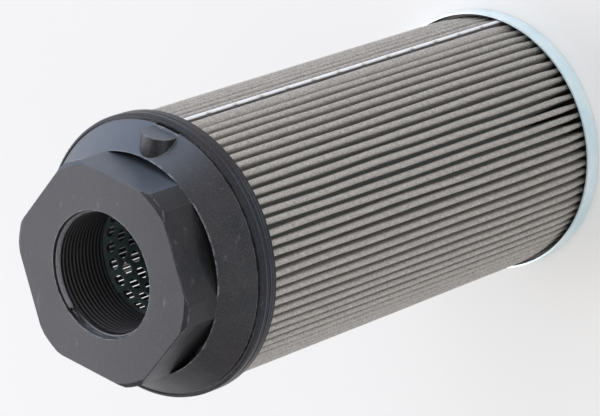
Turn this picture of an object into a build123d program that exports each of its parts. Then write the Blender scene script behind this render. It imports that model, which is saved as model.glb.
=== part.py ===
from build123d import *
from math import acos, cos, degrees, pi, radians, sin, tan
import os

# Suction strainer element for a hydraulic tank. It stands on its steel end cap: the axis is Z,
# the cap's underside is Z = 0 and the threaded mouth looks up. The moulded lug is on the -Y side.

# Whole element, cap underside to mouth face
overall_length = 292.5

# Threaded port in the moulded head: 2 inch parallel pipe thread, wall at the thread's major size
port_radius = 29.81
port_depth = 33.0
mouth_relief = 0.4
mouth_relief_depth = 2.7

# Hexagon round the port, and the crescent pockets between its flats and the shoulder
hex_across_flats = 97.0
hex_height = 19.9
hex_corner_bevel = 2.2
hex_bevel_angle = 30.0
hex_edge_radius = 0.6
pocket_width = 4.75
pocket_depth = 10.0

# Conical shoulder, the groove at its foot, and the rim that takes the pleats
shoulder_height = 14.0
shoulder_fillet = 1.5
foot_groove_width = 0.9
rim_lip = 1.6
rim_setback = 0.6
rim_length = 9.2
rim_wall = 2.0
rim_front_radius = 1.3
rim_step = 0.2
rim_step_place = 7.3
rim_line_width = 0.9
rim_line_depth = 0.4
rim_line_place = 3.9
groove_depth = 0.8
channel_floor = 1.2

# Round lug on the shoulder, with a flat top and a notch behind it
lug_radius = 8.3
lug_above_foot = 5.1
lug_drop = 1.2
notch_width = 14.6
notch_length = 0.3
notch_depth = 2.4
notch_drop = 0.4

# Perforated core tube
tube_sheet = 0.8
tube_step = 0.19
seat_clearance = 0.2
hole_diameter = 6.0
holes_around = 23
hole_row_pitch = 7.5
hole_rows = 5
hole_row_inset = 4.8
hole_start_angle = 45.8

# Pleated mesh, with one wide fold beside the seam
pleat_count = 82
pleat_outer_radius = 64.8
wide_crest_width = 5.1
mesh_thickness = 0.4
pleat_valley = 1.85
pleat_core_gap = 0.85
pleat_clearance = 0.3
rim_clearance = 0.7

# Seam of the mesh, and the folded strip that holds its two ends
seam_angle = -87.5
seam_gap = 0.1
seam_clearance = 0.15
strip_sheet = 0.45
strip_depth = 8.0
strip_proud = 0.3
crimp_count = 12
crimp_pitch = 18.7
crimp_first_z = 21.1
crimp_length = 2.6
crimp_depth = 0.4

# Steel end cap
cap_sheet = 0.9
cap_height = 9.75
cap_clearance = 1.2
cap_edge_radius = 2.0

# Beds of adhesive under and over the pleats
cap_bed_height = 3.0
head_bed_height = 1.0
bed_clearance = 0.1

# Heights along the axis
mouth_z = overall_length
shoulder_top_z = mouth_z - hex_height
pocket_z = shoulder_top_z - pocket_depth
port_end_z = mouth_z - port_depth
foot_z = shoulder_top_z - shoulder_height
rim_front_z = foot_z - rim_setback
rim_back_z = rim_front_z - rim_length
groove_z = rim_front_z - groove_depth
channel_z = groove_z - channel_floor
pleat_start_z = cap_sheet + cap_bed_height
pleat_end_z = channel_z - head_bed_height
pleat_length = pleat_end_z - pleat_start_z

# Radii that follow from what fits in what
hex_corner_radius = hex_across_flats / 2 + pocket_width
tube_radius = port_radius + tube_step
tube_inner_radius = tube_radius - tube_sheet
seat_radius = tube_radius + seat_clearance
pleat_inner_radius = tube_radius + pleat_clearance
channel_radius = pleat_outer_radius + rim_clearance
rim_radius = channel_radius + rim_wall
groove_radius = rim_radius - rim_lip
foot_radius = groove_radius - foot_groove_width
cap_inner_radius = pleat_outer_radius + cap_clearance
cap_radius = cap_inner_radius + cap_sheet


def around(radius, angle, height=0):
    """A point from its distance to the axis, its angle in degrees and its height."""
    return (radius * cos(radians(angle)), radius * sin(radians(angle)), height)


# Moulded head: its turned outline first, mouth and hexagon, then shoulder, groove and rim
bevel_drop = hex_corner_bevel * tan(radians(hex_bevel_angle))
rim_step_z = rim_back_z + rim_step_place
rim_line_z = rim_back_z + rim_line_place
with BuildPart() as head:
    with BuildSketch(Plane.XZ) as outline:
        with BuildLine():
            Polyline(
                (port_radius, port_end_z),
                (port_radius, mouth_z - mouth_relief_depth),
                (port_radius + mouth_relief, mouth_z - mouth_relief_depth),
                (port_radius + mouth_relief, mouth_z),
                (hex_corner_radius - hex_corner_bevel, mouth_z),
                (hex_corner_radius, mouth_z - bevel_drop),
                (hex_corner_radius, shoulder_top_z),
                (foot_radius, foot_z),
                (foot_radius, groove_z),
                (groove_radius, groove_z),
                (groove_radius, rim_front_z),
                (rim_radius - rim_step, rim_front_z),
                (rim_radius - rim_step, rim_step_z),
                (rim_radius, rim_step_z - rim_step),
                (rim_radius, rim_line_z + rim_line_width / 2),
                (rim_radius - rim_line_depth, rim_line_z),
                (rim_radius, rim_line_z - rim_line_width / 2),
                (rim_radius, rim_back_z),
                (seat_radius, rim_back_z),
                (seat_radius, port_end_z),
                close=True,
            )
        make_face()
        corners = outline.vertices()
        rim_front = corners.sort_by_distance((rim_radius - rim_step, rim_front_z))[0]
        shoulder_top = corners.sort_by_distance((hex_corner_radius, shoulder_top_z))[0]
        fillet(rim_front, rim_front_radius)
        fillet(shoulder_top, shoulder_fillet)
    revolve(axis=Axis.Z)

    # Flats of the hexagon, carried down into the six crescent pockets
    with BuildSketch(Plane.XY.offset(pocket_z)):
        Circle(hex_corner_radius)
        RegularPolygon(hex_across_flats / 2, 6, major_radius=False, mode=Mode.SUBTRACT)
    extrude(amount=mouth_z - pocket_z, mode=Mode.SUBTRACT)
    mouth_face = head.faces().sort_by(Axis.Z)[-1]
    fillet(mouth_face.outer_wire().edges(), hex_edge_radius)

    # Lug, a round post that stands out of the shoulder
    lug_top = foot_radius - lug_drop
    with BuildSketch(Plane.XZ.offset(hex_corner_radius)):
        with Locations((0, foot_z + lug_above_foot)):
            Circle(lug_radius)
    extrude(amount=lug_top - hex_corner_radius)

    # Notch between the lug and the rim, deeper than the groove
    notch_height = foot_z + notch_length - groove_z + notch_drop
    with BuildSketch(Plane.XZ.offset(foot_radius - notch_depth)):
        with Locations((0, foot_z + notch_length)):
            Rectangle(notch_width, notch_height, align=(Align.CENTER, Align.MAX))
    extrude(amount=notch_depth, mode=Mode.SUBTRACT)

    # Channel that takes the ends of the pleats, from the back of the rim
    with BuildSketch(Plane.XY.offset(rim_back_z)):
        Circle(channel_radius)
    extrude(amount=channel_z - rim_back_z, mode=Mode.SUBTRACT)
head.part.label = "head"

# Core tube, with the rows of holes that show through the port
hole_pitch = 360 / holes_around
hole_start = tube_inner_radius - tube_sheet
hole_planes = []
for row in range(hole_rows):
    row_z = port_end_z - hole_row_inset - row * hole_row_pitch
    for place in range(holes_around):
        turn = hole_start_angle + (place + row % 2 / 2) * hole_pitch
        hole_planes.append(Plane(origin=around(hole_start, turn, row_z), z_dir=around(1, turn)))

with BuildPart() as core_tube:
    with BuildSketch(Plane.XY.offset(cap_sheet)):
        Circle(tube_radius)
        Circle(tube_inner_radius, mode=Mode.SUBTRACT)
    extrude(amount=port_end_z - cap_sheet)
    with BuildSketch(*hole_planes):
        Circle(hole_diameter / 2)
    extrude(amount=3 * tube_sheet, mode=Mode.SUBTRACT)
core_tube.part.label = "core_tube"

# Pleated mesh: one open sheet of round folds joined by straight flanks. It is drawn in a plane
# whose X axis runs out through the seam. Each fold takes its width and the gap to its neighbour
# on the outer circle: the strip over the seam, one wide crest, and the others alike.
strip_slot = seam_gap + 2 * mesh_thickness + 2 * seam_clearance
strip_width = strip_slot + 2 * strip_sheet
outer_circle = 2 * pi * pleat_outer_radius
seam_room = 360 * (strip_width + pleat_valley) / outer_circle
wide_room = 360 * (wide_crest_width + pleat_valley) / outer_circle
regular_count = pleat_count - 2
pitch = (360 - seam_room - wide_room) / regular_count
crest_width = outer_circle * pitch / 360 - pleat_valley
root_width = 2 * pi * pleat_inner_radius * pitch / 360 - pleat_core_gap

seam_plane = Plane(origin=(0, 0, pleat_start_z), x_dir=around(1, seam_angle), z_dir=(0, 0, 1))
strip_top = pleat_outer_radius + strip_proud
end_centre = Vector(strip_top - strip_sheet - seam_clearance, 0)
first_angle = (seam_room + pitch) / 2
last_angle = first_angle + (regular_count - 1) * pitch
wide_angle = -(seam_room + wide_room) / 2

# The outer and the inner face of the sheet, as the radii of its crests, wide crest, roots and ends
sheet_faces = [
    (
        crest_width / 2 - inset,
        wide_crest_width / 2 - inset,
        root_width / 2 - mesh_thickness + inset,
        seam_gap / 2 + mesh_thickness - inset,
    )
    for inset in (0, mesh_thickness)
]


def crest_centre(width, angle):
    """The centre of a round crest of this width whose top lies on the outer circle."""
    return Vector(*around(pleat_outer_radius - width / 2, angle))


def root_centre(angle):
    """The centre of a round root on the inner circle."""
    return Vector(*around(pleat_inner_radius + root_width / 2, angle))


def flank(centre, radius, root, root_radius, side):
    """The two ends of the flank from a crest to the root beside it, on side 1 or -1 of the crest."""
    across = root - centre
    lean = side * degrees(acos((radius + root_radius) / across.length))
    normal = across.normalized().rotate(Axis.Z, -lean)
    return centre + normal * radius, root - normal * root_radius


def draw_crest(centre, radius, root_before, root_after, root_radius):
    """The round outer fold between its two flanks."""
    start = flank(centre, radius, root_before, root_radius, -1)[0]
    end = flank(centre, radius, root_after, root_radius, 1)[0]
    ThreePointArc(start, centre + centre.normalized() * radius, end)


def draw_root(before, before_radius, root, root_radius, after, after_radius):
    """A flank down from the crest before, the round inner fold, and the flank up to the next."""
    top, foot = flank(before, before_radius, root, root_radius, 1)
    next_top, next_foot = flank(after, after_radius, root, root_radius, -1)
    Line(top, foot)
    ThreePointArc(foot, root - root.normalized() * root_radius, next_foot)
    Line(next_foot, next_top)


# One regular crest on the X axis and the root after it, to be repeated round the axis
next_root = root_centre(pitch / 2)
regular_crest = crest_centre(crest_width, 0)
next_crest = crest_centre(crest_width, pitch)
with BuildLine() as crest:
    for radius, wide_radius, root_radius, end_radius in sheet_faces:
        draw_crest(regular_crest, radius, root_centre(-pitch / 2), next_root, root_radius)

with BuildLine() as root:
    for radius, wide_radius, root_radius, end_radius in sheet_faces:
        draw_root(regular_crest, radius, next_root, root_radius, next_crest, radius)

# The sheet's two ends at the seam, and the wide crest with the roots on its two sides
first_crest = crest_centre(crest_width, first_angle)
last_crest = crest_centre(crest_width, last_angle)
wide_crest = crest_centre(wide_crest_width, wide_angle)
first_root = root_centre(seam_room / 2)
last_root = root_centre(last_angle + pitch / 2)
seam_root = root_centre(-seam_room / 2)
with BuildLine() as seam_side:
    for radius, wide_radius, root_radius, end_radius in sheet_faces:
        draw_root(end_centre, end_radius, first_root, root_radius, first_crest, radius)
        draw_root(last_crest, radius, last_root, root_radius, wide_crest, wide_radius)
        draw_crest(wide_crest, wide_radius, last_root, seam_root, root_radius)
        draw_root(wide_crest, wide_radius, seam_root, root_radius, end_centre, end_radius)
    Line(*[flank(end_centre, face[3], first_root, face[2], 1)[0] for face in sheet_faces])
    Line(*[flank(end_centre, face[3], seam_root, face[2], -1)[0] for face in sheet_faces])

with BuildPart() as pleated_mesh:
    with BuildSketch(seam_plane):
        with BuildLine():
            with PolarLocations(0, regular_count, first_angle, regular_count * pitch):
                add(crest.line)
            with PolarLocations(0, regular_count - 1, first_angle, (regular_count - 1) * pitch):
                add(root.line)
            add(seam_side.line)
        make_face()
    extrude(amount=pleat_length)
pleated_mesh.part.label = "pleated_mesh"

# Folded strip over the seam of the mesh, crimped along one edge
crimp_planes = [
    seam_plane.offset(crimp_first_z - pleat_start_z + place * crimp_pitch)
    for place in range(crimp_count)
]
with BuildPart() as seam_strip:
    with BuildSketch(seam_plane):
        with Locations((strip_top, 0)):
            Rectangle(strip_depth, strip_width, align=(Align.MAX, Align.CENTER))
        with Locations((strip_top - strip_sheet, 0)):
            Rectangle(strip_depth, strip_slot, align=(Align.MAX, Align.CENTER), mode=Mode.SUBTRACT)
    extrude(amount=pleat_length)
    with BuildSketch(*crimp_planes):
        with Locations((strip_top, -strip_width / 2)):
            Rectangle(2 * crimp_depth, 2 * crimp_depth)
    extrude(amount=crimp_length, mode=Mode.SUBTRACT)
seam_strip.part.label = "seam_strip"

# Steel end cap, a pressed cup with a bent corner
bend = cap_edge_radius - cap_sheet
flat_radius = cap_radius - cap_edge_radius
with BuildPart() as end_cap:
    with BuildSketch(Plane.XZ):
        with BuildLine():
            Line((0, 0), (flat_radius, 0))
            RadiusArc((flat_radius, 0), (cap_radius, cap_edge_radius), -cap_edge_radius)
            Polyline(
                (cap_radius, cap_edge_radius),
                (cap_radius, cap_height),
                (cap_inner_radius, cap_height),
                (cap_inner_radius, cap_edge_radius),
            )
            RadiusArc((cap_inner_radius, cap_edge_radius), (flat_radius, cap_sheet), bend)
            Polyline((flat_radius, cap_sheet), (0, cap_sheet), (0, 0))
        make_face()
    revolve(axis=Axis.Z)
end_cap.part.label = "end_cap"

# Adhesive bed in the cap, rounded where the cup is bent
with BuildPart() as cap_adhesive:
    with BuildSketch(Plane.XY.offset(cap_sheet)):
        Circle(cap_inner_radius - bed_clearance)
        Circle(tube_radius + bed_clearance, mode=Mode.SUBTRACT)
    extrude(amount=cap_bed_height)
    fillet(cap_adhesive.edges().group_by(Axis.Z)[0].sort_by(SortBy.RADIUS)[-1], bend)
cap_adhesive.part.label = "cap_adhesive"

# Adhesive bed in the head's channel
with BuildPart() as head_adhesive:
    with BuildSketch(Plane.XY.offset(pleat_end_z)):
        Circle(channel_radius - bed_clearance)
        Circle(tube_radius + bed_clearance, mode=Mode.SUBTRACT)
    extrude(amount=head_bed_height)
head_adhesive.part.label = "head_adhesive"

os.makedirs("parts", exist_ok=True)
export_step(head.part, "parts/head.step")
export_step(core_tube.part, "parts/core_tube.step")
export_step(pleated_mesh.part, "parts/pleated_mesh.step")
export_step(seam_strip.part, "parts/seam_strip.step")
export_step(end_cap.part, "parts/end_cap.step")
export_step(cap_adhesive.part, "parts/cap_adhesive.step")
export_step(head_adhesive.part, "parts/head_adhesive.step")
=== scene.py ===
from math import acos, atan2, cos, degrees, hypot, pi, radians, sin, sqrt

import bmesh
import bpy
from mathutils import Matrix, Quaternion, Vector, noise


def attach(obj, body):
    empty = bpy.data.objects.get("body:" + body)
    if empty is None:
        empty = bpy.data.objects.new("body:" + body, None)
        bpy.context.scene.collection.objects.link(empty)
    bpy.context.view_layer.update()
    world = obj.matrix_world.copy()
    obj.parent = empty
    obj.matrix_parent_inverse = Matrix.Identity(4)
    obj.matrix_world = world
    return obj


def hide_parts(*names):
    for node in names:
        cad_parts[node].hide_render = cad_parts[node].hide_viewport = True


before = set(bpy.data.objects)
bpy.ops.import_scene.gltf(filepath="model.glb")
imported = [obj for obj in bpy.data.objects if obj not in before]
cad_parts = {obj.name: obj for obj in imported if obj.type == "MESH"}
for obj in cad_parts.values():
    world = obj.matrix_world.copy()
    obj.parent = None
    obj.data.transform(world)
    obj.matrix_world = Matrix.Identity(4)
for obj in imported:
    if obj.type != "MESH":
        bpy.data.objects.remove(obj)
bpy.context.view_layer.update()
scene = bpy.context.scene
scene.view_settings.view_transform = "Standard"
MM = 0.001

# Sizes are in millimetres and degrees, and those of the CAD pieces are as in the frame

# Head and port
MOUTH_Z = 292.5
MOUTH_RELIEF_RADIUS = 30.21
PORT_RADIUS = 29.81
PORT_END_Z = 259.5
SHOULDER_TOP_Z = 272.6
RIM_INNER_RADIUS = 65.0

# Heights of the fine pale lines painted round the rim
RIM_LINES = (250.3, 252.0, 254.9)

# Thread of the port: a right-hand 55 degree ridge, 11 turns to the inch, that begins as a wide blunt turn
THREAD_PITCH = 25.4 / 11
THREAD_START_ANGLE = 56.8
THREAD_STEPS = 144
THREAD_CREST_RADIUS = 28.36
THREAD_END_GAP = 0.05
FIRST_CREST_DEPTH = 2.9
FIRST_TURN_WIDER = 1.55
FIRST_TURN_PALE_DEPTH = (4.2, 3.6)

# Radii between which the crests, and the blunt face of the first turn, get paler as a painted highlight
CREST_PALER = (28.85, 28.40)
BLUNT_PALER = (29.70, 29.55)

# Radii of the thread's foot on the port's wall and in the relief, where it reaches into the plastic
THREAD_FOOT = PORT_RADIUS + 0.03
BLUNT_FOOT = MOUTH_RELIEF_RADIUS + 0.03

# Turns over which the ridge rises from its start, and over which the blunt first turn narrows
RIDGE_RISE = (-0.002, 0.012)
BLUNT_END = (0.80, 1.12)

# Pleated mesh
PLEATS = 82
SEAM_ANGLE = -87.5
PLEAT_RADIUS = 64.8
PLEAT_VALLEY = 1.85
PLEAT_START_Z = 3.9
PLEAT_END_Z = 255.0
MESH_SHEET = 0.4
ROOT_RADIUS = 30.3
ROOT_GAP = 0.85

# The crest under the strip is low and narrow. The one beside it is wide, and reaches nearer to the
# strip than in the frame
SEAM_CREST_HALF = 0.25
SEAM_CREST_DROP = 1.4
WIDE_CREST = 5.1
WIDE_REACH = 1.5

# How far the folds stand off their even places, in degrees: up to SHIFT within SHIFT_SPAN before the
# strip, and opposite the strip by FAN_LEAN for each FAN_LENGTH below FAN_TOP_Z, within its limits
SHIFT = 0.9
SHIFT_SPAN = 130
FAN_LEAN = 3.0
FAN_TOP_Z = 240
FAN_LENGTH = 140
FAN_LIMITS = (-0.1, 1.3)

# Waver of the folds: sideways and in height in millimetres, and in width as a share of it
WAVER_SIDEWAYS = 0.45
WAVER_HEIGHT = 0.10
WAVER_WIDTH = 0.05

# Pinched tips at the cap: from this height down to that one, they get lower and narrower
PINCH = (21, 8)
PINCH_DROP = 0.9
PINCH_NARROWER = 0.30

# Heights of the mesh's rows of points, close together where the tips are pinched and even above
PINCH_ROWS = (PLEAT_START_Z, 7, 9, 11, 13, 15.5, 18.5, 22)
EVEN_ROWS = 26
ARC_STEPS = 4

# Light through the cloth: radii over which it grows inwards in the valleys, heights over which it
# grows above the cap, and radii over which it grows between the inner folds
VALLEY_GLOW = (62, 56)
GLOW_OVER_CAP = (6, 24)
BETWEEN_FOLDS = (40, 45)

# Seam strip and the crimps in its side
STRIP_WIDTH = 2.1
STRIP_SHEET = 0.45
STRIP_DEPTH = 8.0
STRIP_TOP = 65.1
STRIP_BEND = 0.4
STRIP_BEND_STEPS = 4
STRIP_ROWS = 330
# Depths below the strip's top over which its sides go from painted shade to the bright top
STRIP_SHADE_DEPTH = (0.85, 0.55)
CRIMP_START_Z = 22.4
CRIMP_PITCH = 18.7
CRIMP_REACH = 1.6
CRIMP_DEPTH = 0.95
CRIMP_STEEP_END = (-1.9, -0.3)
CRIMP_GENTLE_END = (2.6, 0.6)

# Core tube
TUBE_RADIUS = 30.0
TUBE_SHEET = 0.8
TUBE_START_Z = 0.9
HOLE_RADIUS = 3.0
HOLE_SIDES = 16
HOLES_AROUND = 23
HOLE_PITCH_Z = 7.5
HOLE_INSET = 4.8
HOLE_START_ANGLE = 45.8
WELD_DISTANCE = 0.02

# The floor's half width in metres, and how much it adds to itself where the camera or a gloss sees it
FLOOR_REACH = 6
FLOOR_LIFT = 0.31

# The side of the head with a painted bluish sheen where the light falls, the side whose gloss is lowered as
# painted shade, and the side of the mesh that light comes through into the bore
SHEEN_SIDE = (0.49, -0.85, 0.20)
SHADED_SIDE = (-0.985, -0.17, 0.0)
LIT_SIDE = (0.50, 0.866, 0)


def polar(radius, angle, height):
    """A point in metres from millimetres and degrees about the axis."""
    turn = radians(angle)
    return Vector((radius * cos(turn), radius * sin(turn), height)) * MM


def clamp(x, low, high):
    return min(max(x, low), high)


def ease(x, start, end):
    """0 before start, 1 after end, and smooth between them."""
    x = clamp((x - start) / (end - start), 0, 1)
    return x * x * (3 - 2 * x)


def make_piece(name, points, faces, smooth=True):
    """A mesh object from its points and faces, riding on the root body."""
    mesh = bpy.data.meshes.new(name)
    mesh.from_pydata([tuple(p) for p in points], [], faces)
    mesh.validate()
    if smooth:
        mesh.shade_smooth()
    piece = bpy.data.objects.new(name, mesh)
    scene.collection.objects.link(piece)
    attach(piece, "root")
    return piece


# Camera, at the photograph's angle
aim = Vector((-0.0008, 0.0011, 0.1537))
distance = 1.7394
azimuth = radians(-54.343)
elevation = radians(46.601)
roll = radians(-109.4)
towards = Vector((sin(azimuth) * cos(elevation), -cos(azimuth) * cos(elevation), sin(elevation)))
camera = bpy.data.objects.new("camera", bpy.data.cameras.new("camera"))
scene.collection.objects.link(camera)
camera.data.sensor_width = 36.0
camera.data.lens = 216.83
camera.data.clip_end = 50
camera.location = aim + towards * distance
camera.rotation_mode = "QUATERNION"
level = (-towards).to_track_quat("-Z", "Y")
camera.rotation_quaternion = level @ Quaternion((0, 0, 1), roll)
scene.camera = camera
view_right = camera.rotation_quaternion @ Vector((1, 0, 0))
view_up = camera.rotation_quaternion @ Vector((0, 1, 0))


def seen(right, up, near):
    """A direction given as the camera sees it: to its right, up, and towards it."""
    return (view_right * right + view_up * up + towards * near).normalized()


class Nodes:
    """A node tree, with short calls for the nodes that the materials and the world use."""

    def __init__(self, tree):
        self.tree = tree

    def link(self, value, socket):
        """Gives a socket another node's output or a constant, and leaves it alone for None."""
        if isinstance(value, bpy.types.NodeSocket):
            self.tree.links.new(value, socket)
        elif value is not None:
            socket.default_value = value

    def math(self, operation, a, b=None, clamped=False):
        node = self.tree.nodes.new("ShaderNodeMath")
        node.operation = operation
        node.use_clamp = clamped
        for socket, value in zip(node.inputs, (a, b)):
            self.link(value, socket)
        return node.outputs[0]

    def times(self, a, b):
        return self.math("MULTIPLY", a, b)

    def plus(self, a, b):
        return self.math("ADD", a, b)

    def minus(self, a, b):
        return self.math("SUBTRACT", a, b)

    def vector(self, operation, a, b=None, output=0):
        node = self.tree.nodes.new("ShaderNodeVectorMath")
        node.operation = operation
        self.link(a, node.inputs[0])
        self.link(b, node.inputs[1])
        return node.outputs[output]

    def along(self, vector, direction):
        """The dot product of a vector and a direction."""
        return self.vector("DOT_PRODUCT", vector, direction, "Value")

    def ramp(self, value, low, high, start=0.0, end=1.0):
        """value from low..high to start..end, smoothly."""
        node = self.tree.nodes.new("ShaderNodeMapRange")
        node.interpolation_type = "SMOOTHSTEP"
        ends = (("From Min", low), ("From Max", high), ("To Min", start), ("To Max", end))
        for name, x in ends:
            node.inputs[name].default_value = x
        self.link(value, node.inputs["Value"])
        return node.outputs[0]

    def mix(self, factor, a, b):
        """Colour a where factor is 0, and colour b where it is 1."""
        node = self.tree.nodes.new("ShaderNodeMix")
        node.data_type = "RGBA"
        colours = [s for s in node.inputs if s.type == "RGBA"]
        self.link(factor, node.inputs[0])
        for socket, value in zip(colours, (a, b)):
            self.link((*value, 1) if isinstance(value, tuple) else value, socket)
        return [s for s in node.outputs if s.type == "RGBA"][0]


class Shader(Nodes):
    """A node material on the Principled surface. Its noise, radius and height are in object space."""

    def __init__(self, name):
        self.material = bpy.data.materials.new(name)
        self.material.use_nodes = True
        super().__init__(self.material.node_tree)
        self.surface = self.tree.nodes["Principled BSDF"]
        self.coordinates = self.tree.nodes.new("ShaderNodeTexCoord")
        self.place = self.coordinates.outputs["Object"]

    def noise(self, scale, detail=3.0, roughness=0.5, stretch=None, place=None):
        """Noise with this many cells to the unit of its coordinates."""
        node = self.tree.nodes.new("ShaderNodeTexNoise")
        node.inputs["Scale"].default_value = scale
        node.inputs["Detail"].default_value = detail
        node.inputs["Roughness"].default_value = roughness
        source = place or self.place
        if stretch:
            source = self.vector("MULTIPLY", source, stretch)
        self.link(source, node.inputs["Vector"])
        return node.outputs["Fac"]

    def split(self, vector=None):
        """The x, y and z of a vector, or else of the place in object space."""
        node = self.tree.nodes.new("ShaderNodeSeparateXYZ")
        self.link(vector or self.place, node.inputs[0])
        return list(node.outputs)

    def join(self, x, y, z):
        node = self.tree.nodes.new("ShaderNodeCombineXYZ")
        for socket, value in zip(node.inputs, (x, y, z)):
            self.link(value, socket)
        return node.outputs[0]

    def radius(self):
        """The distance from the strainer's axis, in metres."""
        x, y = self.split()[:2]
        return self.math("SQRT", self.plus(self.times(x, x), self.times(y, y)))

    def height(self):
        """The height over the end cap's underside, in metres."""
        return self.split()[2]

    def by_radius(self, low, high, start=0.0, end=1.0):
        """From start to end between two radii in millimetres."""
        return self.ramp(self.radius(), low * MM, high * MM, start, end)

    def by_height(self, low, high, start=0.0, end=1.0):
        """From start to end between two heights in millimetres."""
        return self.ramp(self.height(), low * MM, high * MM, start, end)

    def bump(self, height, distance, strength):
        node = self.tree.nodes.new("ShaderNodeBump")
        node.inputs["Strength"].default_value = strength
        node.inputs["Distance"].default_value = distance
        self.link(height, node.inputs["Height"])
        return node.outputs[0]

    def edges(self, width):
        """1 on convex and concave edges that are sharper than this width, 0 on plain faces."""
        bevel = self.tree.nodes.new("ShaderNodeBevel")
        bevel.samples = 6
        bevel.inputs["Radius"].default_value = width
        normal = self.tree.nodes.new("ShaderNodeNewGeometry").outputs["Normal"]
        agree = self.along(bevel.outputs[0], normal)
        return self.ramp(self.minus(1.0, agree), 0.01, 0.12)

    def set(self, **values):
        """Gives the surface its inputs, by their names in lower case, and returns the material."""
        for name, value in values.items():
            name = name.replace("_", " ").title()
            name = {"Specular": "Specular IOR Level"}.get(name, name)
            if isinstance(value, tuple) and len(value) == 3:
                value = (*value, 1)
            self.link(value, self.surface.inputs[name])
        return self.material


def plastic_material(name):
    """Black moulded plastic with a spark-eroded grain, a painted bluish sheen on the side facing the light,
    painted shade in the gloss of one side, scuffs, and edges worn pale with a painted highlight.
    """
    s = Shader(name)
    black, soft_black = (0.007, 0.0075, 0.009), (0.018, 0.018, 0.020)
    rim_black, line_grey = (0.009, 0.013, 0.020), (0.060, 0.068, 0.085)
    cone_brown, sparkle_brown = (0.027, 0.020, 0.018), (0.105, 0.088, 0.078)
    scuff_grey, edge_highlight_grey = (0.13, 0.13, 0.13), (0.22, 0.22, 0.22)
    sheen_blue = (0.075, 0.090, 0.115)
    cloud = s.noise(38, 4, 0.6)
    fine = s.noise(1500, 2, 0.6)
    on_rim = s.by_radius(RIM_INNER_RADIUS + 0.2, RIM_INNER_RADIUS + 0.5)
    off_rim = s.minus(1.0, on_rim)
    colour = s.mix(s.ramp(cloud, 0.35, 0.65), black, soft_black)
    colour = s.mix(s.times(on_rim, 0.6), colour, rim_black)

    # Fine pale lines round the rim, fainter here and there
    z = s.height()
    for line_z in RIM_LINES:
        off_line = s.math("ABSOLUTE", s.minus(z, line_z * MM))
        line = s.times(s.ramp(off_line, 0.4 * MM, 0.1 * MM), s.ramp(cloud, 0.35, 0.60, 0.3, 1.0))
        colour = s.mix(s.times(line, on_rim), colour, line_grey)

    # Brownish grain, stronger below the shoulder's top
    on_cone = s.by_height(SHOULDER_TOP_Z + 1, SHOULDER_TOP_Z, 0.30, 0.45)
    warm = s.times(on_cone, s.ramp(s.noise(45, 3, 0.6), 0.40, 0.60))
    colour = s.mix(s.times(warm, 0.8), colour, cone_brown)
    sparkle = s.ramp(s.noise(2500, 1, 0.5), 0.54, 0.72)
    colour = s.mix(s.times(sparkle, on_cone), colour, sparkle_brown)

    # Scuffs, a painted bluish sheen on the side facing the light, and pale edges that are partly wear and
    # partly painted highlight
    scuff = s.ramp(s.noise(240, 5, 0.7, stretch=(1, 0.25, 1)), 0.60, 0.72)
    colour = s.mix(s.times(scuff, 0.32), colour, scuff_grey)
    # Painted sheen: a bluish tint on the surfaces that face the light, off the rim
    facing_light = s.along(s.coordinates.outputs["Normal"], SHEEN_SIDE)
    painted_sheen = s.times(s.ramp(facing_light, 0.45, 0.90, 0.0, 0.88), off_rim)
    colour = s.mix(painted_sheen, colour, sheen_blue)
    # Pale edges: partly wear, partly a painted highlight
    wear_and_highlight = s.times(s.edges(1.2 * MM), s.ramp(s.noise(220, 4, 0.7), 0.40, 0.62))
    colour = s.mix(s.times(s.times(wear_and_highlight, off_rim), 0.65), colour, edge_highlight_grey)

    rough = s.plus(s.ramp(cloud, 0.3, 0.7, 0.28, 0.41), s.times(fine, 0.08))
    grain = s.plus(fine, s.times(s.noise(700, 2, 0.5), 0.6))
    # Painted shade: the gloss is lowered towards one side of the head
    gloss_shade = s.ramp(s.along(s.place, SHADED_SIDE), -20 * MM, 50 * MM, 1.0, 0.76)
    gloss = s.times(gloss_shade, s.ramp(on_rim, 0.0, 1.0, 0.43, 0.27))
    return s.set(base_color=colour, roughness=rough, specular=gloss, specular_tint=(0.80, 0.87, 1.0),
                 normal=s.bump(grain, 0.04 * MM, 0.5))


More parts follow.
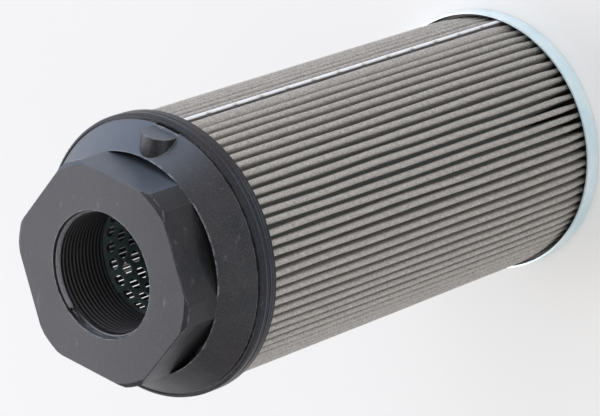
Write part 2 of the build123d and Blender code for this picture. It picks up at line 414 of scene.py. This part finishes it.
def mesh_material(name, inside):
    """Woven stainless wire, two sets of round wires over and under each other, by the piece's UV in mm.

    The closed sheet keeps out the light that comes through open cloth, so the cloth adds it here:
    in the valleys outside, and on the middles of the inner folds inside.
    """
    s = Shader(name)
    shadow_grey, wire_grey = (0.18, 0.172, 0.162), (0.68, 0.66, 0.62)
    twill_grey, mottled_grey, cloud_grey = (0.20, 0.19, 0.18), (0.18, 0.17, 0.16), (0.33, 0.31, 0.295)
    bore_shade, bore_light, valley_light = (0.02, 0.02, 0.02), (1, 1, 1), (0.90, 0.98, 0.97)

    # The wires run at 45 degrees to the folds
    wires_to_the_mm = 1 / 0.42
    u, v = s.split(s.coordinates.outputs["UV"])[:2]
    along, across = s.plus(u, v), s.minus(u, v)
    a = s.math("SINE", s.times(along, pi * wires_to_the_mm / sqrt(2)))
    b = s.math("SINE", s.times(across, pi * wires_to_the_mm / sqrt(2)))
    over = s.times(a, b)
    wires_a = s.times(s.math("ABSOLUTE", a), s.ramp(over, -0.6, 0.6, 0.7, 1.0))
    wires_b = s.times(s.math("ABSOLUTE", b), s.ramp(over, -0.6, 0.6, 1.0, 0.7))
    weave = s.math("MAXIMUM", wires_a, wires_b)

    twill = s.noise(1.0, 2, 0.6, stretch=(1.1, 0.42, 1.0), place=s.join(along, across, 0.0))
    mottled = s.noise(700, 3, 0.6)
    cloud = s.noise(60, 3, 0.6)
    colour = s.mix(s.ramp(weave, 0.45, 0.95), shadow_grey, wire_grey)
    colour = s.mix(s.ramp(twill, 0.42, 0.58, 0.0, 0.52), colour, twill_grey)
    colour = s.mix(s.ramp(mottled, 0.42, 0.64, 0.0, 0.40), colour, mottled_grey)
    colour = s.mix(s.ramp(cloud, 0.35, 0.7, 0.0, 0.20), colour, cloud_grey)

    if inside:
        colour = s.mix(0.65, colour, bore_shade)
        fold = s.tree.nodes.new("ShaderNodeAttribute")
        fold.attribute_name = "inner_fold"
        folds = s.ramp(fold.outputs["Fac"], 0.05, 0.40)
        between = s.by_radius(*BETWEEN_FOLDS, 0.0, 0.08)
        outwards = s.vector("NORMALIZE", s.join(*s.split()[:2], 0.0))
        lit = s.ramp(s.along(outwards, LIT_SIDE), 0.76, 0.93, 0.09, 0.92)
        glow = s.times(s.math("MAXIMUM", folds, between), lit)
        glow_colour = bore_light
    else:
        glow = s.times(s.by_radius(*VALLEY_GLOW, 0.0, 0.023), s.by_height(*GLOW_OVER_CAP))
        glow_colour = valley_light

    woven = s.bump(s.plus(weave, s.times(mottled, 0.7)), 0.1 * MM, 0.6)
    return s.set(base_color=colour, roughness=0.48, metallic=0.35, specular=0.4, normal=woven,
                 emission_strength=glow, emission_color=glow_colour)


def metal_material(name, dark, light, roughness, metallic, spangle, brushed=0.0):
    """Plated sheet with a faint cloudy crystal pattern of this many cells to the metre."""
    s = Shader(name)
    fine = s.noise(spangle * 14, 2, 0.5)
    colour = s.mix(s.ramp(s.noise(spangle, 4, 0.6), 0.3, 0.7), dark, light)
    rough = s.plus(s.ramp(fine, 0.3, 0.7, -0.04, 0.06), roughness)
    lines = s.noise(2500, 1, 0.5, stretch=(1, 1, 0.04))
    relief = s.bump(s.plus(fine, s.times(lines, brushed)), 0.02 * MM, 0.4)
    return s.set(base_color=colour, roughness=rough, metallic=metallic, normal=relief)


def strip_material():
    """Bright tinned strip whose folded sides, down between the pleats, are painted dark as shade."""
    s = Shader("strip_metal")
    shaded_side_grey, soft_tin, bright_tin = (0.12, 0.12, 0.12), (0.66, 0.68, 0.70), (0.76, 0.77, 0.78)
    top = s.mix(s.ramp(s.noise(200, 4, 0.6), 0.3, 0.7), soft_tin, bright_tin)
    # Painted shade: the sides turn dark below the strip's top
    on_top = s.by_radius(*(STRIP_TOP - depth for depth in STRIP_SHADE_DEPTH))
    scratched = s.bump(s.noise(1200, 3, 0.6), 0.03 * MM, 0.4)
    return s.set(base_color=s.mix(on_top, shaded_side_grey, top), roughness=0.42, metallic=0.0,
                 specular=0.6, normal=scratched)


def adhesive_material():
    """Dark cured epoxy, slightly uneven."""
    s = Shader("adhesive")
    dark, light = (0.030, 0.029, 0.028), (0.050, 0.048, 0.046)
    colour = s.mix(s.ramp(s.noise(160, 4, 0.6), 0.3, 0.7), dark, light)
    return s.set(base_color=colour, roughness=0.35, normal=s.bump(s.noise(400, 3, 0.5), 0.2 * MM, 0.4))


def thread_material():
    """The same plastic on the thread, darker as painted shade in the bore, and paler on its crests and on
    the blunt face of its first turn as a painted highlight.
    """
    s = Shader("thread_plastic")
    # The black is darker and the gloss lower than on the head, as painted shade in the bore; the paler
    # crests and blunt face are painted highlight
    black, crest_highlight, blunt_highlight = (0.003, 0.003, 0.0035), (0.040, 0.039, 0.042), (0.15, 0.148, 0.163)
    fine = s.noise(900, 3, 0.6)
    colour = s.mix(s.by_radius(*CREST_PALER), black, crest_highlight)
    first_turn = s.by_height(*(MOUTH_Z - depth for depth in FIRST_TURN_PALE_DEPTH))
    blunt_face = s.times(first_turn, s.by_radius(*BLUNT_PALER))
    colour = s.mix(s.times(blunt_face, s.ramp(fine, 0.25, 0.6, 0.6, 1.0)), colour, blunt_highlight)
    return s.set(base_color=colour, roughness=0.42, specular=0.17, normal=s.bump(fine, 0.02 * MM, 0.3))


head_plastic = plastic_material("head_plastic")
thread_plastic = thread_material()
mesh_steel = mesh_material("mesh_steel", inside=False)
mesh_inside = mesh_material("mesh_steel_inside", inside=True)
core_steel = metal_material("core_steel", dark=(0.14, 0.20, 0.205), light=(0.20, 0.265, 0.27),
                            roughness=0.5, metallic=0.5, spangle=120)
strip_metal = strip_material()
cap_zinc = metal_material("cap_zinc", dark=(0.60, 0.75, 0.82), light=(0.74, 0.845, 0.87),
                          roughness=0.38, metallic=0.45, spangle=45, brushed=0.3)
adhesive = adhesive_material()

carried_over = {
    "head": head_plastic,
    "end_cap": cap_zinc,
    "cap_adhesive": adhesive,
    "head_adhesive": adhesive,
}
for node, material in carried_over.items():
    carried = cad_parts[node]
    carried.data.materials.clear()
    carried.data.materials.append(material)


# Sections of the thread's ridge: depths below the crest's middle, and radii
THREAD_PROFILE = (
    (1.15, THREAD_FOOT),
    (0.88, 29.62),
    (0.60, 29.05),
    (0.32, 28.50),
    (0.00, THREAD_CREST_RADIUS),
    (-0.32, 28.50),
    (-0.60, 29.05),
    (-0.88, 29.62),
    (-1.15, THREAD_FOOT),
)
BLUNT_PROFILE = (
    (1.15, THREAD_FOOT),
    (0.88, 29.62),
    (0.60, 29.05),
    (0.38, 28.62),
    (-0.15, 28.75),
    (-0.32 - FIRST_TURN_WIDER, 29.50),
    (-0.50 - FIRST_TURN_WIDER, 29.85),
    (-0.56 - FIRST_TURN_WIDER, 30.10),
    (-0.60 - FIRST_TURN_WIDER, BLUNT_FOOT),
)


def build_thread():
    """The ridge's section carried down the port's wall, from the mouth to the port's end."""
    turns_in_port = (MOUTH_Z - FIRST_CREST_DEPTH - PORT_END_Z) / THREAD_PITCH
    count = round(turns_in_port) * THREAD_STEPS
    points = []
    for i in range(count + 1):
        turns = i / THREAD_STEPS
        blunt = 1 - ease(turns, *BLUNT_END)
        grown = ease(turns, *RIDGE_RISE)
        angle = THREAD_START_ANGLE - 360 * turns
        for (narrow_depth, narrow_radius), (wide_depth, wide_radius) in zip(THREAD_PROFILE, BLUNT_PROFILE):
            depth = narrow_depth + (wide_depth - narrow_depth) * blunt
            radius = narrow_radius + (wide_radius - narrow_radius) * blunt
            radius = BLUNT_FOOT + (radius - BLUNT_FOOT) * grown
            height = MOUTH_Z - FIRST_CREST_DEPTH - THREAD_PITCH * turns - depth
            points.append(polar(radius, angle, max(height, PORT_END_Z + THREAD_END_GAP)))
    n = len(THREAD_PROFILE)
    faces = [
        (i * n + j, i * n + j + 1, (i + 1) * n + j + 1, (i + 1) * n + j)
        for i in range(count)
        for j in range(n - 1)
    ]
    return points, faces


port_thread = make_piece("port_thread", *build_thread())
port_thread.data.materials.append(thread_plastic)


# Pleated mesh: its rooms round the axis, and the widths of its folds
SEAM_ROOM = degrees((STRIP_WIDTH + PLEAT_VALLEY) / PLEAT_RADIUS)
WIDE_ROOM = degrees((WIDE_CREST + PLEAT_VALLEY) / PLEAT_RADIUS)
PITCH = (360 - SEAM_ROOM - WIDE_ROOM) / (PLEATS - 2)
CREST_WIDTH = radians(PITCH) * PLEAT_RADIUS - PLEAT_VALLEY
ROOT_WIDTH = radians(PITCH) * ROOT_RADIUS - ROOT_GAP


def direction(angle):
    return Vector((cos(angle), sin(angle)))


def heading(vector):
    return atan2(vector.y, vector.x)


def turned(start, end):
    """The shorter turn from one heading to another."""
    return (end - start + pi) % (2 * pi) - pi


def arc(centre, radius, start, sweep, steps):
    """The points of an arc that belong to these of its ARC_STEPS steps."""
    return [centre + direction(start + sweep * i / ARC_STEPS) * radius for i in steps]


def flank(centre, radius, root, root_radius, side):
    """The two ends of the flank from a crest to the root on side 1 or -1 of it, and its heading."""
    across = root - centre
    lean = acos((radius + root_radius) / across.length)
    turn = heading(across) - side * lean
    return centre + direction(turn) * radius, root - direction(turn) * root_radius, turn


def fold_lean(place, z):
    """How far a fold stands off its even place at this height, in degrees; the folds fan out to the cap."""
    back = (-place) % 360
    shift = SHIFT * sin(pi * min(back, SHIFT_SPAN) / SHIFT_SPAN)
    fan = FAN_LEAN * clamp((FAN_TOP_Z - z) / FAN_LENGTH, *FAN_LIMITS) * sin(pi * back / 360) ** 2
    return -(shift + fan)


def waver(i, z, step, length, lane):
    """Smooth noise from about -1 to 1 for crest i, that changes along it over this length."""
    return noise.noise(Vector((i * step, z / length, lane)))


def crest(i, z):
    """The heading of crest i at height z, the radius of its fold and how far out its centre is."""
    i = i % PLEATS
    if i == 0:
        return radians(SEAM_ANGLE), SEAM_CREST_HALF, PLEAT_RADIUS - SEAM_CREST_DROP - SEAM_CREST_HALF
    sideways = waver(i, z, step=7.31, length=45, lane=0.0)
    wide = waver(i, z, step=3.17, length=80, lane=5.0)
    pinch = ease(z, *PINCH)
    place, width = SEAM_ROOM / 2 + (i - 0.5) * PITCH, CREST_WIDTH
    if i == PLEATS - 1:
        place = 360 - (SEAM_ROOM + WIDE_ROOM) / 2 + degrees(WIDE_REACH / 2 / PLEAT_RADIUS)
        width = WIDE_CREST + WIDE_REACH
    half = (width - MESH_SHEET) / 2 * (1 + WAVER_WIDTH * wide) * (1 - PINCH_NARROWER * pinch)
    top = PLEAT_RADIUS - MESH_SHEET / 2 - PINCH_DROP * pinch + WAVER_HEIGHT * wide
    angle = radians(SEAM_ANGLE + place + fold_lean(place, z)) + WAVER_SIDEWAYS * sideways / PLEAT_RADIUS
    return angle, half, top - half


def pleat_section(k, z):
    """The middle of the sheet from the top of crest k to the top of the next one, in mm, at height z."""
    root_half = (ROOT_WIDTH - MESH_SHEET) / 2
    place = 360 - SEAM_ROOM / 2 if k == PLEATS - 1 else SEAM_ROOM / 2 + k * PITCH
    root = direction(radians(SEAM_ANGLE + place + fold_lean(place, z))) * (ROOT_RADIUS + ROOT_WIDTH / 2)
    angle, half, reach = crest(k, z)
    next_angle, next_half, next_reach = crest(k + 1, z)
    centre, next_centre = direction(angle) * reach, direction(next_angle) * next_reach
    top, foot, turn = flank(centre, half, root, root_half, 1)
    next_top, next_foot, next_turn = flank(next_centre, next_half, root, root_half, -1)
    path = []
    if k % PLEATS:
        path += arc(centre, half, angle, turned(angle, turn), range(ARC_STEPS))
    path += [top, foot]
    bend = (heading(next_foot - root) - heading(foot - root)) % (2 * pi)
    if bend > pi * 1.5:
        bend -= 2 * pi
    path += arc(root, root_half, heading(foot - root), bend, range(1, ARC_STEPS))
    path += [next_foot, next_top]
    if (k + 1) % PLEATS:
        sweep = turned(next_angle, next_turn)
        path += arc(next_centre, next_half, next_angle, sweep, range(ARC_STEPS - 1, 0, -1))
    return path


# Points of one pleat's section, and the first point on the middle of an inner fold
SECTION_POINTS = 3 * ARC_STEPS + 2
FIRST_MIDDLE = ARC_STEPS // 2 + 1


def build_pleats():
    """The folded sheet, with its unfolded length and height in mm as UV and its inner folds marked."""
    last = PINCH_ROWS[-1]
    heights = [*PINCH_ROWS]
    heights += [last + (PLEAT_END_Z - last) * i / EVEN_ROWS for i in range(1, EVEN_ROWS + 1)]
    rings = [[p for k in range(PLEATS) for p in pleat_section(k, z)] for z in heights]
    count = len(rings[0])
    points = [Vector((p.x, p.y, z)) * MM for ring, z in zip(rings, heights) for p in ring]
    faces = [
        (r * count + i, r * count + i + 1, (r + 1) * count + i + 1, (r + 1) * count + i)
        for r in range(len(heights) - 1)
        for i in range(count - 1)
    ]
    piece = make_piece("woven_pleats", points, faces)

    along = [0.0]
    middle = rings[len(rings) // 2]
    for p, q in zip(middle, middle[1:]):
        along.append(along[-1] + (q - p).length)
    layer = piece.data.uv_layers.new(name="sheet_mm")
    for loop in piece.data.loops:
        row, i = divmod(loop.vertex_index, count)
        layer.data[loop.index].uv = (along[i], heights[row])

    # 1 on the middle of each inner fold and 0 beside it
    middles = piece.data.attributes.new("inner_fold", "FLOAT", "POINT")
    for row in range(len(heights)):
        for i in range(FIRST_MIDDLE, count, SECTION_POINTS):
            middles.data[row * count + i].value = 1.0

    # The second material is for the inner side of the thickened sheet
    thick = piece.modifiers.new("thick", "SOLIDIFY")
    thick.thickness = MESH_SHEET * MM
    thick.offset = 0
    thick.use_rim = True
    thick.material_offset = 1
    return piece


woven_pleats = build_pleats()
woven_pleats.data.materials.append(mesh_steel)
woven_pleats.data.materials.append(mesh_inside)
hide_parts("pleated_mesh")


def build_strip():
    """A folded strip whose side is crimped into the mesh at even steps."""
    half = STRIP_WIDTH / 2
    inner = half - STRIP_SHEET
    left = [(-half, STRIP_TOP - STRIP_DEPTH), (-half, STRIP_TOP - CRIMP_REACH)]
    for i in range(STRIP_BEND_STEPS + 1):
        turn = pi / 2 * i / STRIP_BEND_STEPS
        left.append((-half + STRIP_BEND * (1 - cos(turn)), STRIP_TOP - STRIP_BEND * (1 - sin(turn))))
    slot = [(inner, STRIP_DEPTH), (inner, STRIP_SHEET), (-inner, STRIP_SHEET), (-inner, STRIP_DEPTH)]
    outline = left + [(-x, r) for x, r in reversed(left)] + [(x, STRIP_TOP - down) for x, down in slot]
    points = []
    for row in range(STRIP_ROWS + 1):
        z = PLEAT_START_Z + (PLEAT_END_Z - PLEAT_START_Z) * row / STRIP_ROWS
        along = (z - CRIMP_START_Z + CRIMP_PITCH / 2) % CRIMP_PITCH - CRIMP_PITCH / 2
        dent = ease(along, *CRIMP_STEEP_END) * ease(along, *CRIMP_GENTLE_END)
        for x, r in outline:
            if x < 0:
                reach = ease(r, STRIP_TOP - CRIMP_REACH, STRIP_TOP - STRIP_BEND)
                x += CRIMP_DEPTH * dent * reach * min(1, -x / half)
            points.append(polar(hypot(x, r), SEAM_ANGLE + degrees(atan2(x, r)), z))
    n = len(outline)
    faces = [
        (r * n + i, r * n + (i + 1) % n, (r + 1) * n + (i + 1) % n, (r + 1) * n + i)
        for r in range(STRIP_ROWS)
        for i in range(n)
    ]
    faces += [tuple(range(n)), tuple(STRIP_ROWS * n + i for i in reversed(range(n)))]
    return points, faces


crimped_strip = make_piece("crimped_strip", *build_strip())
crimped_strip.data.materials.append(strip_metal)
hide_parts("seam_strip")


def build_tube():
    """The tube as cells with a round hole each, drawn on both faces and joined through the holes."""
    first = PORT_END_Z - HOLE_INSET
    rows = int((first - TUBE_START_Z) / HOLE_PITCH_Z)
    cell = 360 / HOLES_AROUND
    mm_per_degree = 2 * pi * TUBE_RADIUS / 360
    points, faces = [], []

    def vertex(angle, z, inner):
        points.append(polar(TUBE_RADIUS - (TUBE_SHEET if inner else 0), angle, z))
        return len(points) - 1

    def face(corners, flip):
        faces.append(corners[::-1] if flip else corners)

    def quarters():
        """Both ends, in degrees, of each quarter of a cell round the tube."""
        for place in range(HOLES_AROUND * 4):
            start = HOLE_START_ANGLE + place / 4 * cell
            yield start, start + cell / 4

    def band(low, high):
        """A stretch without holes, on both faces."""
        for a, b in quarters():
            for inner in (False, True):
                corners = ((a, low), (b, low), (b, high), (a, high))
                face([vertex(angle, z, inner) for angle, z in corners], inner)

    def end(z, flip):
        """The ring that closes the sheet at one end."""
        for a, b in quarters():
            corners = ((a, False), (b, False), (b, True), (a, True))
            face([vertex(angle, z, inner) for angle, inner in corners], flip)

    def holed_cell(centre, middle, inner):
        """One cell round its hole on one face; returns the points of the hole."""
        hole, edge = [], []
        for i in range(HOLE_SIDES):
            turn = 2 * pi * (i + 0.5) / HOLE_SIDES
            x, y = cos(turn), sin(turn)
            hole.append(vertex(centre + HOLE_RADIUS * x / mm_per_degree, middle + HOLE_RADIUS * y, inner))
            scale = 0.5 / max(abs(x), abs(y))
            edge.append(vertex(centre + x * scale * cell, middle + y * scale * HOLE_PITCH_Z, inner))
        # The cell's four corners, each by the side of the hole that looks at it
        corners = {}
        for quarter, (right, up) in enumerate(((1, 1), (-1, 1), (-1, -1), (1, -1))):
            side = HOLE_SIDES // 8 - 1 + quarter * HOLE_SIDES // 4
            corners[side] = vertex(centre + right * cell / 2, middle + up * HOLE_PITCH_Z / 2, inner)
        for i in range(HOLE_SIDES):
            j = (i + 1) % HOLE_SIDES
            around = [hole[i], edge[i], edge[j], hole[j]]
            if i in corners:
                around.insert(2, corners[i])
            face(around, inner)
        return hole

    for row in range(rows):
        middle = first - row * HOLE_PITCH_Z
        for place in range(HOLES_AROUND):
            centre = HOLE_START_ANGLE + (place + row % 2 / 2) * cell
            outer_hole = holed_cell(centre, middle, False)
            inner_hole = holed_cell(centre, middle, True)
            for i in range(HOLE_SIDES):
                j = (i + 1) % HOLE_SIDES
                face([outer_hole[i], outer_hole[j], inner_hole[j], inner_hole[i]], False)
    band(TUBE_START_Z, first - (rows - 0.5) * HOLE_PITCH_Z)
    band(first + HOLE_PITCH_Z / 2, PORT_END_Z)
    end(TUBE_START_Z, True)
    end(PORT_END_Z, False)
    return points, faces


perforated_tube = make_piece("perforated_tube", *build_tube(), smooth=False)
merged = bmesh.new()
merged.from_mesh(perforated_tube.data)
bmesh.ops.remove_doubles(merged, verts=merged.verts, dist=WELD_DISTANCE * MM)
merged.to_mesh(perforated_tube.data)
merged.free()
perforated_tube.data.materials.append(core_steel)
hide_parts("core_tube")


def floor_material():
    """Pale paper, lifted where the camera or a gloss sees it and not where it lights the pieces."""
    s = Shader("floor_paper")
    path = s.tree.nodes.new("ShaderNodeLightPath")
    in_sight = s.math("ADD", path.outputs["Is Camera Ray"], path.outputs["Is Glossy Ray"], clamped=True)
    in_sight = s.math("ADD", in_sight, path.outputs["Is Transmission Ray"], clamped=True)
    dark, light = (0.39, 0.40, 0.405), (0.415, 0.42, 0.425)
    colour = s.mix(s.ramp(s.noise(1.5, 2, 0.5), 0.3, 0.7), dark, light)
    return s.set(base_color=colour, roughness=0.9, specular=0.1, emission_color=(1.0, 0.985, 0.95),
                 emission_strength=s.times(in_sight, FLOOR_LIFT))


floor_mesh = bmesh.new()
bmesh.ops.create_grid(floor_mesh, x_segments=8, y_segments=8, size=FLOOR_REACH)
floor_data = bpy.data.meshes.new("floor")
floor_mesh.to_mesh(floor_data)
floor_mesh.free()
floor = bpy.data.objects.new("floor", floor_data)
scene.collection.objects.link(floor)
floor.data.materials.append(floor_material())


class Studio(Nodes):
    """A world that is brighter in a few soft directions, as large lamps and windows are."""

    def __init__(self, base, camera_colour):
        world = bpy.data.worlds.new("studio")
        scene.world = world
        world.use_nodes = True
        super().__init__(world.node_tree)
        self.direction = self.tree.nodes.new("ShaderNodeTexCoord").outputs["Generated"]
        self.total = base
        self.camera_colour = camera_colour

    def lobe(self, towards_lamp, outer, inner, colour):
        """Adds light from round a direction, fading from the cosine inner to the cosine outer."""
        share = self.ramp(self.along(self.direction, tuple(towards_lamp)), outer, inner)
        self.total = self.vector("ADD", self.total, self.vector("MULTIPLY", share, colour))

    def finish(self):
        """Shows the camera a plain colour past the floor's end, and lights all else with the sum."""
        path = self.tree.nodes.new("ShaderNodeLightPath")
        colour = self.mix(path.outputs["Is Camera Ray"], self.total, self.camera_colour)
        self.link(colour, self.tree.nodes["Background"].inputs["Color"])


# Each lamp's direction, the cosines of its outer edge and of its full core, and its colour
LAMPS = (
    (seen(-0.94, -0.30, 0.06), 0.78, 0.96, (2.8, 2.55, 2.45)),
    (seen(-0.70, 0.68, -0.15), 0.20, 0.85, (1.45, 1.55, 1.78)),
    (seen(-0.10, 0.75, 0.65), 0.60, 0.95, (0.95, 0.88, 0.85)),
    (seen(0.80, -0.15, 0.58), 0.25, 0.90, (1.05, 1.02, 0.98)),
    (seen(0.25, -0.80, 0.50), 0.0, 0.85, (0.36, 0.35, 0.34)),
)
studio = Studio(base=(0.24, 0.25, 0.27), camera_colour=(0.90, 0.91, 0.92))
for lamp in LAMPS:
    studio.lobe(*lamp)
studio.finish()
